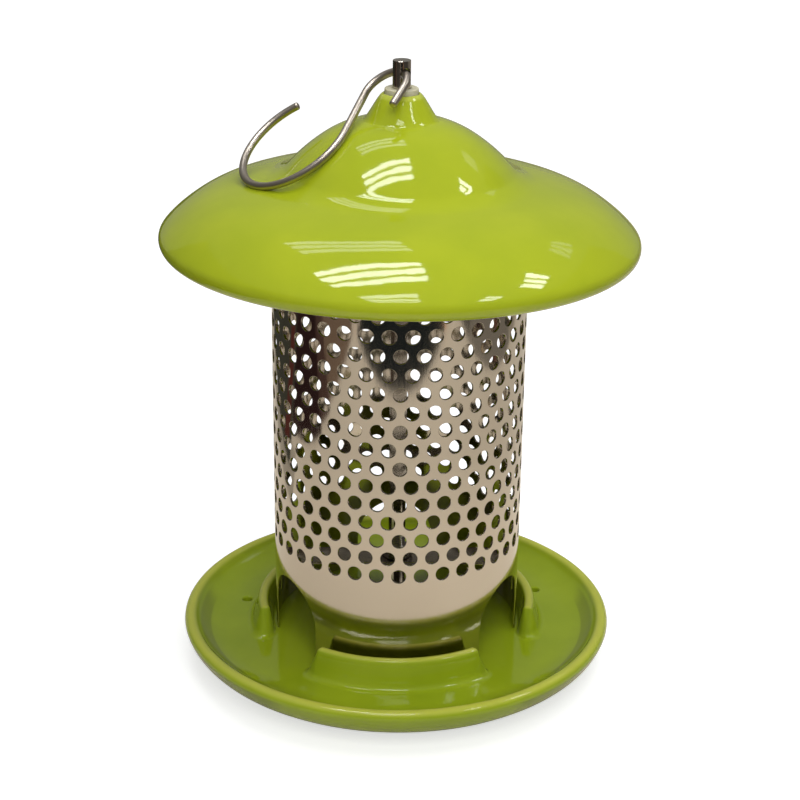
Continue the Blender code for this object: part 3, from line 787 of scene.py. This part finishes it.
def hookPath(look):
    # The wire's centre line in the hook's plane, from the short leg's end to the big hook's tip
    sag = rod["crossHole"] - look["wire"]
    loopCentre = np.array([0.0, look["loopRadius"] - 0.4 * sag])
    lean = math.radians(look["shankLean"])
    start = -math.pi / 2.0 + math.radians(look["loopLegTurn"])
    leg, loop, shank, big = look["counts"]
    legFoot = loopCentre + onCircle(start) * look["loopRadius"]
    legWay = np.array([-math.sin(start), math.cos(start)])
    points = [legFoot + legWay * look["loopLeg"] * share for share in np.linspace(1.0, 0.0, leg)[:-1]]
    turn = math.radians(look["loopLegTurn"]) + math.pi / 2.0 + lean
    points += [loopCentre + onCircle(a) * look["loopRadius"] for a in np.linspace(start, start - turn, loop)]
    shankWay = np.array([math.sin(lean), math.cos(lean)])
    foot = points[-1]
    points += [foot + shankWay * look["shankLength"] * share for share in np.linspace(0.0, 1.0, shank)[1:-1]]
    head = foot + shankWay * look["shankLength"]
    inward = np.array([-math.cos(lean), math.sin(lean)])
    centre = head + inward * look["hookRadius"]
    for angle in np.linspace(0.0, math.radians(look["hookTurn"]), big):
        c, s = math.cos(angle), math.sin(angle)
        points.append(centre + np.array([[c, -s], [s, c]]) @ (-inward) * look["hookRadius"])
    return np.array(points)


def makeHook(look):
    path = hookPath(look)
    wire = look["wire"]
    for _ in range(3):
        path[1:-1] = path[1:-1] * 0.5 + (path[:-2] + path[2:]) * 0.25
    ways = np.gradient(path, axis=0)
    ways /= np.linalg.norm(ways, axis=1)[:, None]
    # Both ends are cut and lightly domed: how far out, and the share of the wire's radius there
    dome = look["dome"]
    length = dome[-1][0]
    along = np.concatenate([[0.0], np.cumsum(np.linalg.norm(np.diff(path, axis=0), axis=1))])
    kept = (along > 1.1 * length) & (along < along[-1] - 1.1 * length)
    front = [(path[0] + ways[0] * (length - out), ways[0], wire * share) for out, share in dome[::-1]]
    back = [(path[-1] - ways[-1] * (length - out), ways[-1], wire * share) for out, share in dome]
    rows = front + [(spot, way, wire) for spot, way in zip(path[kept], ways[kept])] + back
    angles = turnAngles(look["sides"])[:, None]
    points = []
    for spot, way, radius in rows:
        across = np.array([-way[1], way[0], 0.0])
        ring = across * np.cos(angles) + upward * np.sin(angles)
        points.append(ring * radius + np.array([*spot, 0.0]))
    mesh = ringMesh("hookWire", np.array(points), closed=False)
    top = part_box("hanging_rod")[1].z - rod["crossBelowTop"]
    mesh.transform(Matrix.Translation((0.0, 0.0, top))
                   @ Matrix.Rotation(math.radians(rod["crossAzimuth"]) - math.pi / 2.0, 4, "Z")
                   @ Matrix.Rotation(math.pi + math.radians(look["drop"]), 4, "X"))
    shadeSmooth(mesh, 60.0)
    return addPiece("hookWire", mesh, "hook", "hook_steel", "s_hook")


pieces = {
    "roof": makeRoof(roof),
    "bushing": makeBushing(bushing),
    "tray": makeTray(tray),
    "tube": makeSeedTube(seedTube),
    "strap": makeStrap(strap),
    "strapNut": makeNut(nut, "strapNutSteel", "strap_nut"),
    "footNut": makeNut(nut, "footNutSteel", "bottom_nut"),
    "washerSteel": makeWasher(washers["steel"]),
    "washerRubber": makeWasher(washers["rubber"]),
    "rod": makeRod(rod),
    "hook": makeHook(hook),
}
print("meshes done")


# Material helpers

def fillInputs(tree, node, inputs):
    # For each input a value, a colour without its alpha, or another node's output to link to it
    for key, value in inputs.items():
        socket = node.inputs[key]
        if isinstance(value, bpy.types.NodeSocket):
            tree.links.new(value, socket)
        else:
            socket.default_value = (*value, 1.0) if socket.type == "RGBA" else value


def addNode(tree, kind, x, y, inputs={}, **settings):
    node = tree.nodes.new("ShaderNode" + kind)
    node.location = (x, y)
    for key, value in settings.items():
        setattr(node, key, value)
    fillInputs(tree, node, inputs)
    return node


def addGroup(tree, group, x, y, *values):
    # The values come in the order of the group's inputs
    return addNode(tree, "Group", x, y, dict(enumerate(values)), node_tree=group).outputs


def ownPlaces(tree, x, y):
    return addNode(tree, "TexCoord", x, y).outputs["Object"]


def addNoise(tree, x, y, where, scale, detail, roughness):
    inputs = {"Vector": where, "Scale": scale, "Detail": detail, "Roughness": roughness}
    return addNode(tree, "TexNoise", x, y, inputs).outputs["Fac"]


def addRange(tree, x, y, value, start=(0.0, 1.0), end=(0.0, 1.0), kind="LINEAR"):
    inputs = {"Value": value, "From Min": start[0], "From Max": start[1], "To Min": end[0], "To Max": end[1]}
    return addNode(tree, "MapRange", x, y, inputs, interpolation_type=kind).outputs["Result"]


def addMix(tree, x, y, factor, a, b, kind="RGBA"):
    return addNode(tree, "Mix", x, y, {"Factor": factor, "A": a, "B": b}, data_type=kind).outputs["Result"]


def addMath(tree, x, y, operation, *values, clamp=False):
    node = addNode(tree, "Math", x, y, dict(enumerate(values)), operation=operation, use_clamp=clamp)
    return node.outputs["Value"]


def startGroup(name, inputs, outputs):
    # The kind of each input and output, by its label
    group = bpy.data.node_groups.new(name, "ShaderNodeTree")
    for way, sockets in (("INPUT", inputs), ("OUTPUT", outputs)):
        for label, kind in sockets.items():
            group.interface.new_socket(label, in_out=way, socket_type="NodeSocket" + kind)
    given, result = group.nodes.new("NodeGroupInput"), group.nodes.new("NodeGroupOutput")
    given.location, result.location = (-900, 0), (600, 0)
    return group, given.outputs, result


def makeMottleGroup():
    # Cloudy patches and fine specks in a colour, as in a glaze, a plastic or a rubber
    group, given, result = startGroup(
        "cloudyColour",
        {"Color": "Color", "Deep Color": "Color", "Patch Scale": "Float", "Amount": "Float",
         "Speck Amount": "Float"},
        {"Color": "Color", "Mask": "Float"})
    where = ownPlaces(group, -900, -300)
    patches = addNoise(group, -600, 100, where, given["Patch Scale"], 3.0, 0.55)
    specks = addNoise(group, -600, -250, where, 900.0, 2.0, 0.6)
    shape = addRange(group, -380, 100, patches, (0.3, 0.7), kind="SMOOTHSTEP")
    grain = addRange(group, -380, -250, specks, (0.56, 0.72))
    scaled = addMath(group, -180, 100, "MULTIPLY", shape, given["Amount"])
    fine = addMath(group, -180, -150, "MULTIPLY", grain, given["Speck Amount"])
    both = addMath(group, 0, 0, "ADD", scaled, fine, clamp=True)
    colour = addMix(group, 220, 100, both, given["Color"], given["Deep Color"])
    fillInputs(group, result, {"Color": colour, "Mask": both})
    return group


def makeGrainGroup():
    # Drawn or rolled metal: long fine streaks along one axis, and a broad soft smudge
    group, given, result = startGroup(
        "drawnGrain", {"Stretch": "Vector", "Smudge Scale": "Float", "Low": "Float", "High": "Float"},
        {"Roughness": "Float", "Streaks": "Float", "Smudge": "Float"})
    where = ownPlaces(group, -900, -300)
    stretched = addNode(group, "VectorMath", -700, 100, {0: where, 1: given["Stretch"]}, operation="MULTIPLY")
    streaks = addNoise(group, -480, 100, stretched.outputs["Vector"], 1.0, 4.0, 0.65)
    smudge = addNoise(group, -480, -200, where, given["Smudge Scale"], 2.0, 0.5)
    both = addMix(group, -200, 0, 0.45, streaks, smudge, "FLOAT")
    roughness = addRange(group, 100, 0, both, (0.3, 0.7), (given["Low"], given["High"]))
    fillInputs(group, result, {"Roughness": roughness, "Streaks": streaks, "Smudge": smudge})
    return group


# The sides of the feeder, as seen from the front, where the tray's dish gets its painted shade: they start
# nearer to the axis towards the front
feederSides = {
    "frontShare": -0.35,
    "limits": (0.080, 0.0885),
}


def makeRadiusGroup(sides):
    # Masks by distance from the feeder's axis and by height, with soft limits
    group, given, result = startGroup(
        "radiusAndHeight",
        {"Radius From": "Float", "Radius To": "Float", "Height From": "Float", "Height To": "Float"},
        {"Radius Mask": "Float", "Height Mask": "Float", "Both": "Float", "Both At Sides": "Float"})
    where = ownPlaces(group, -900, -300)
    flat = addNode(group, "VectorMath", -700, 100, {0: where, 1: (1.0, 1.0, 0.0)}, operation="MULTIPLY")
    length = addNode(group, "VectorMath", -500, 100, {0: flat.outputs["Vector"]}, operation="LENGTH")
    split = addNode(group, "SeparateXYZ", -700, -150, {"Vector": where}).outputs
    masks = []
    for row, (source, label) in enumerate(((length.outputs["Value"], "Radius"), (split["Z"], "Height"))):
        limits = (given[label + " From"], given[label + " To"])
        masks.append(addRange(group, -200, 100 - 300 * row, source, limits, kind="SMOOTHSTEP"))
    both = addMath(group, 100, -50, "MULTIPLY", *masks)
    across = addMath(group, -600, -350, "ABSOLUTE", split["X"])
    forward = addMath(group, -400, -450, "MULTIPLY_ADD", split["Y"], sides["frontShare"], across)
    beside = addRange(group, -200, -500, forward, sides["limits"], kind="SMOOTHSTEP")
    atSides = addMath(group, 300, -250, "MULTIPLY", both, beside)
    fillInputs(group, result, {"Radius Mask": masks[0], "Height Mask": masks[1], "Both": both,
                               "Both At Sides": atSides})
    return group


mottleGroup = makeMottleGroup()
grainGroup = makeGrainGroup()
radiusGroup = makeRadiusGroup(feederSides)


def startMaterial(name):
    material = bpy.data.materials.new(name)
    material.use_nodes = True
    tree = material.node_tree
    shader = tree.nodes["Principled BSDF"]
    shader.location = (400, 0)
    tree.nodes["Material Output"].location = (720, 0)
    return material, tree, shader


def addBump(tree, shader, source, strength, distance):
    bump = addNode(tree, "Bump", 180, -400, {"Strength": strength, "Distance": distance, "Height": source})
    fillInputs(tree, shader, {"Normal": bump.outputs["Normal"]})


# Glaze: lime over white clay, thinner and lighter where it runs off an edge, bare under the foot. On the tray
# it is painted darker as shade from the roof, with a painted highlight on the rim and rib tops and a painted
# shade in the dish at its sides.
# Limits are radius from, radius to, height from and height to.
glazes = {
    "glazeLimeRoof": {
        "pieces": ("roof",),
        "color": (0.40, 0.468, 0.0155),
        "deep": (0.345, 0.42, 0.012),
        "thinAndLit": (0.48, 0.54, 0.06),
        "thinAndLitAt": (0.0, 0.0001, 0.2722, 0.2734),
    },
    "glazeLimeTray": {
        "pieces": ("tray",),
        # The roof's lime glaze, painted darker as shade from the roof
        "color": (0.33, 0.42, 0.014),
        "deep": (0.27, 0.36, 0.010),
        "thinAndLit": (0.52, 0.55, 0.07),
        # Thinner glaze on the rim's crest, lightened further as a painted highlight where the rim faces up to
        # the lamps
        "thinAndLitAt": (0.0945, 0.0980, 0.0212, 0.0236),
        # Thinner glaze on the rib tops, lightened further as a painted highlight along them
        "ribAt": (0.06, 0.0602, 0.0284, 0.0297),
        # Painted shade and painted dark reflection in the dish's inner wall, at its sides
        "sideShade": (0.215, 0.275, 0.012),
        "sideShadeAt": (0.0888, 0.0900, 0.0208, 0.0196),
        "bisque": (0.68, 0.64, 0.56),
        "bisqueAt": (0.0, 0.0001, 0.0004, 0.0001),
    },
}
glazeSkin = {
    "clouds": (26.0, 0.75, 0.12),  # patch scale, amount of patches, amount of specks
    "rough": (0.045, 0.08),
    "bisqueRough": 0.75,
    "peel": (160.0, 2.0, 0.4),  # scale, detail, roughness of the noise
    "bump": (0.05, 0.001),
}


def makeGlaze(name, look):
    material, tree, shader = startMaterial(name)
    clouds = addGroup(tree, mottleGroup, -700, 100, look["color"], look["deep"], *glazeSkin["clouds"])
    colour = clouds["Color"]
    # Thin glaze at edges, with a painted highlight on the tray's rim and rib tops, and the painted shade in
    # the dish at its sides
    layers = (("thinAndLitAt", "thinAndLit", "Both"), ("ribAt", "thinAndLit", "Both"), ("sideShadeAt", "sideShade", "Both At Sides"))
    for n, (key, tone, output) in enumerate(layers):
        if key in look:
            mask = addGroup(tree, radiusGroup, -700, -250 - 250 * n, *look[key])[output]
            colour = addMix(tree, -400 + 160 * n, 100, mask, colour, look[tone])
    roughness = addRange(tree, 0, -150, clouds["Mask"], end=glazeSkin["rough"])
    if "bisqueAt" in look:
        bare = addGroup(tree, radiusGroup, -700, -1000, *look["bisqueAt"])["Height Mask"]
        colour = addMix(tree, 120, 200, bare, colour, look["bisque"])
        roughness = addMix(tree, 200, -150, bare, roughness, glazeSkin["bisqueRough"], "FLOAT")
    peel = addNoise(tree, -200, -450, ownPlaces(tree, -400, -450), *glazeSkin["peel"])
    fillInputs(tree, shader, {"Base Color": colour, "Roughness": roughness, "IOR": 1.5})
    addBump(tree, shader, peel, *glazeSkin["bump"])
    return material


# Metals: colours, roughness range, streak stretch per axis, scale of the smudges, bump
metals = {
    "steelTube": {"pieces": ("tube",), "color": (0.58, 0.525, 0.455), "deep": (0.53, 0.475, 0.405),
                  "rough": (0.05, 0.10), "stretch": (700.0, 700.0, 60.0), "smudge": 28.0, "bump": 0.03},
    "steelStrap": {"pieces": ("strap",), "color": (0.50, 0.45, 0.39), "deep": (0.42, 0.37, 0.31),
                   "rough": (0.16, 0.26), "stretch": (60.0, 900.0, 900.0), "smudge": 60.0, "bump": 0.08},
    "steelNut": {"pieces": ("strapNut", "footNut", "washerSteel"), "color": (0.56, 0.53, 0.49),
                 "deep": (0.48, 0.45, 0.41), "rough": (0.2, 0.34), "stretch": (600.0, 600.0, 1500.0),
                 "smudge": 120.0, "bump": 0.08},
    "steelRod": {"pieces": ("rod",), "color": (0.52, 0.48, 0.43), "deep": (0.46, 0.42, 0.37),
                 "rough": (0.10, 0.17), "stretch": (2200.0, 2200.0, 90.0), "smudge": 60.0, "bump": 0.02},
    "steelHook": {"pieces": ("hook",), "color": (0.56, 0.50, 0.44), "deep": (0.48, 0.43, 0.37),
                  "rough": (0.33, 0.37), "stretch": (260.0, 260.0, 260.0), "smudge": 50.0, "bump": 0.0005},
}


def makeMetal(name, look):
    material, tree, shader = startMaterial(name)
    grain = addGroup(tree, grainGroup, -500, -150, look["stretch"], look["smudge"], *look["rough"])
    tint = addMix(tree, 0, 150, grain["Smudge"], look["color"], look["deep"])
    fillInputs(tree, shader, {"Base Color": tint, "Roughness": grain["Roughness"], "Metallic": 1.0})
    addBump(tree, shader, grain["Streaks"], look["bump"], 0.0005)
    return material


# Nylon and rubber: colours, patch scale, amounts of patches and of specks
plastics = {
    "nylonOffWhite": {
        "pieces": ("bushing",),
        "clouds": ((0.60, 0.57, 0.41), (0.54, 0.51, 0.35), 160.0, 0.6, 0.15),
        "bump": 0.06,
        "inputs": {"Roughness": 0.42, "Subsurface Weight": 0.35, "Subsurface Scale": 0.003,
                   "Subsurface Radius": (1.0, 0.9, 0.7)},
    },
    "rubberBlack": {
        "pieces": ("washerRubber",),
        "clouds": ((0.030, 0.030, 0.032), (0.055, 0.053, 0.050), 220.0, 0.5, 0.4),
        "bump": 0.25,
        "inputs": {"Roughness": 0.7},
    },
}


def makePlastic(name, look):
    material, tree, shader = startMaterial(name)
    clouds = addGroup(tree, mottleGroup, -500, 100, *look["clouds"])
    fillInputs(tree, shader, {"Base Color": clouds["Color"], **look["inputs"]})
    addBump(tree, shader, clouds["Mask"], look["bump"], 0.0004)
    return material


for make, looks in ((makeGlaze, glazes), (makeMetal, metals), (makePlastic, plastics)):
    for name, look in looks.items():
        material = make(name, look)
        for key in look["pieces"]:
            pieces[key].data.materials.clear()
            pieces[key].data.materials.append(material)
print("materials done")


# Studio: pale floor, white surround, soft lamps for the colours, and rows of ceiling tubes that only
# draw the highlights. Cards that only mirrors see stand in for the table and the room round it.
studio = {
    "worldLight": 0.17,
    "floorHalf": 4.0,
    "floorBelow": 0.0002,
    "floorColor": (0.60, 0.60, 0.60),
    "floorGlows": (0.66, 0.95),  # near the feeder, far from it
    "floorFade": (0.9, 2.4),
    "softLamps": (  # name, place, aim, size, power
        ("ceiling", (0.28, 0.12, 2.0), (0.08, 0.05, 0.1), (2.0, 1.8), 30.0),
        ("front", (0.08, -1.25, 1.20), (0.0, 0.0, 0.05), (0.9, 0.7), 12.5),
    ),
    "tubeRows": (  # name, middle, length, brightness
        ("main", (-0.14, -0.115), 0.55, 13.0),
        ("right", (0.87, 0.02), 0.24, 13.0),
        ("rear", (-0.20, 0.44), 0.51, 3.0),
        ("front", (-0.05, -0.585), 0.38, 8.0),
        ("frontRight", (0.70, -0.53), 0.15, 12.0),
        ("rearRight", (0.90, 0.72), 0.26, 1.2),
    ),
    "tubeHeight": 1.2,
    "tubeWidth": 0.066,
    "tubePitch": 0.101,
    "tubesInRow": 3,
    "tubeTurn": 12.0,
    "cardStep": 0.0002,
    "cards": (  # name, corner, corner, colour; each lies one step above the last
        ("floorAround", (-2.5, -2.5), (2.5, 2.5), (0.09, 0.08, 0.07)),
        ("floorBehind", (-2.5, 0.14), (2.5, 2.5), (0.36, 0.32, 0.26)),
        ("tableTop", (-0.36, -0.445), (0.46, 0.9), (0.70, 0.635, 0.53)),
        ("floorCorner", (-0.39, -2.0), (-0.33, -0.43), (0.66, 0.57, 0.46)),
        ("floorFront", (-0.33, -2.5), (0.345, -0.445), (0.014, 0.017, 0.018)),
        ("floorLeft", (-2.5, -0.43), (-0.36, -0.20), (0.20, 0.14, 0.10)),
        ("floorBrown", (-2.5, -0.20), (-0.345, -0.13), (0.085, 0.05, 0.042)),
        ("floorDark", (-2.5, -0.13), (-0.33, 0.09), (0.032, 0.016, 0.016)),
        ("tableShade", (-0.30, 0.05), (-0.22, 0.9), (0.44, 0.40, 0.33)),
        ("floorLeftBack", (-2.5, 0.09), (-0.26, 2.5), (0.060, 0.062, 0.048)),
        ("redStripe", (-2.5, 0.11), (-0.28, 0.155), (0.11, 0.032, 0.026)),
        ("floorRight", (0.46, -0.27), (2.5, 0.16), (0.22, 0.20, 0.17)),
        ("floorOrange", (0.345, -2.0), (0.41, -0.445), (0.75, 0.42, 0.22)),
    ),
    "tableLitNear": (0.98, 0.88, 0.73),  # the table card painted lighter round the feeder, a painted pool of light
    "tableFade": (0.10, 0.36),
    "roomHalf": 2.4,
    "roomHeights": (-0.01, 2.2),
    "wallGlows": ((0.15, 0.145, 0.13), (0.14, 0.135, 0.12), (0.26, 0.255, 0.235), (0.12, 0.115, 0.105)),
    "ceilingGlow": (0.26, 0.26, 0.25),
}


def rectangle(low, high, z):
    return [(low[0], low[1], z), (high[0], low[1], z), (high[0], high[1], z), (low[0], high[1], z)]


def addSheet(name, corners):
    # A flat piece of the studio, whose material has an output and nothing else yet
    mesh = bpy.data.meshes.new(name)
    mesh.from_pydata(corners, [], [(0, 1, 2, 3)])
    sheet = addObject(name, mesh)
    material, tree, shader = startMaterial(name)
    tree.nodes.remove(shader)
    mesh.materials.append(material)
    return sheet, tree, tree.nodes["Material Output"]


def addCard(name, corners, color, kind):
    # A stand-in for a part of the room, seen in reflections alone
    card, tree, output = addSheet(name, corners)
    card.visible_camera = card.visible_diffuse = card.visible_shadow = False
    card.visible_transmission = card.visible_volume_scatter = False
    paint = addNode(tree, kind, 300, 0, {"Color": color})
    fillInputs(tree, output, {"Surface": paint.outputs[0]})
    return tree, paint


def makeRoom(look):
    for n, (name, low, high, color) in enumerate(look["cards"]):
        corners = rectangle(low, high, look["cardStep"] * (n + 1))
        tree, paint = addCard(name, corners, color, "BsdfDiffuse")
        # The table card gets a painted pool of light round the feeder
        if name == "tableTop":
            mask = addGroup(tree, radiusGroup, -300, 0, *look["tableFade"])["Radius Mask"]
            fillInputs(tree, paint, {"Color": addMix(tree, 0, 0, mask, look["tableLitNear"], color)})
    half = look["roomHalf"]
    corners = [corner for z in look["roomHeights"] for corner in rectangle((-half, -half), (half, half), z)]
    for n, glow in enumerate(look["wallGlows"]):  # front, right, back, left
        m = (n + 1) % 4
        addCard("roomWall{}".format(n), [corners[k] for k in (n, m, m + 4, n + 4)], glow, "Emission")
    addCard("roomCeiling", corners[4:], look["ceilingGlow"], "Emission")


def seenPlainly(tree, x, y):
    # 1 for camera, glossy and transmission rays, which should meet the white surround
    rays = addNode(tree, "LightPath", x, y).outputs
    first = addMath(tree, x + 200, y, "MAXIMUM", rays["Is Camera Ray"], rays["Is Glossy Ray"])
    return addMath(tree, x + 400, y, "MAXIMUM", first, rays["Is Transmission Ray"])


def mixShaders(tree, x, y, factor, first, second):
    return addNode(tree, "MixShader", x, y, {0: factor, 1: first, 2: second}).outputs["Shader"]


def makeWorld(look):
    world = bpy.data.worlds.new("whiteStudio")
    bpy.context.scene.world = world
    world.use_nodes = True
    tree = world.node_tree
    tree.nodes.clear()
    strengths = ((0, look["worldLight"]), (-200, 1.0))
    light, white = [addNode(tree, "Background", 0, y, {"Color": (1.0, 1.0, 1.0), "Strength": strength})
                    for y, strength in strengths]
    mix = mixShaders(tree, 300, 0, seenPlainly(tree, -700, 200), light.outputs[0], white.outputs[0])
    addNode(tree, "OutputWorld", 600, 0, {"Surface": mix})


def makeFloor(look):
    # Pale and glowing for the camera and the mirrors, plain for the light, and clear from below
    half = look["floorHalf"]
    floor, tree, output = addSheet("studioFloor", rectangle((-half, -half), (half, half), 0.0))
    floor.location = (0.0, 0.0, -look["floorBelow"])
    paint = addNode(tree, "BsdfDiffuse", -100, 100, {"Color": look["floorColor"]}).outputs["BSDF"]
    far = addGroup(tree, radiusGroup, -600, -100, *look["floorFade"])["Radius Mask"]
    strength = addRange(tree, -350, -100, far, end=look["floorGlows"])
    glow = addNode(tree, "Emission", -100, -100, {"Strength": strength}).outputs["Emission"]
    both = addNode(tree, "AddShader", 100, 0, {0: paint, 1: glow}).outputs["Shader"]
    seen = mixShaders(tree, 300, 100, seenPlainly(tree, -600, 350), paint, both)
    clear = addNode(tree, "BsdfTransparent", 300, -150).outputs["BSDF"]
    below = addNode(tree, "NewGeometry", 300, 350).outputs["Backfacing"]
    fillInputs(tree, output, {"Surface": mixShaders(tree, 520, 0, below, seen, clear)})


def addAreaLamp(name, place, turn, size, power):
    lamp = bpy.data.lights.new(name, "AREA")
    lamp.shape = "RECTANGLE"
    lamp.size, lamp.size_y = size
    lamp.energy = power
    obj = addObject(name, lamp)
    obj.location = place
    obj.rotation_euler = turn
    obj.visible_camera = False
    return obj


def makeStudio(look):
    makeWorld(look)
    makeFloor(look)
    makeRoom(look)
    for name, place, aim, size, power in look["softLamps"]:
        turn = (Vector(aim) - Vector(place)).to_track_quat("-Z", "Y").to_euler()
        addAreaLamp(name, place, turn, size, power).visible_glossy = False
    count, width, turn = look["tubesInRow"], look["tubeWidth"], math.radians(look["tubeTurn"])
    for name, (x, y), length, glow in look["tubeRows"]:
        for n in range(count):
            off = (n - (count - 1) / 2.0) * look["tubePitch"]
            place = (x - off * math.sin(turn), y + off * math.cos(turn), look["tubeHeight"])
            tube = addAreaLamp("{}Tube{}".format(name, n), place, (0.0, 0.0, turn), (length, width),
                               glow * math.pi * length * width)
            tube.visible_diffuse = False


makeStudio(studio)
bpy.context.scene.view_settings.view_transform = "Standard"
print("studio done")
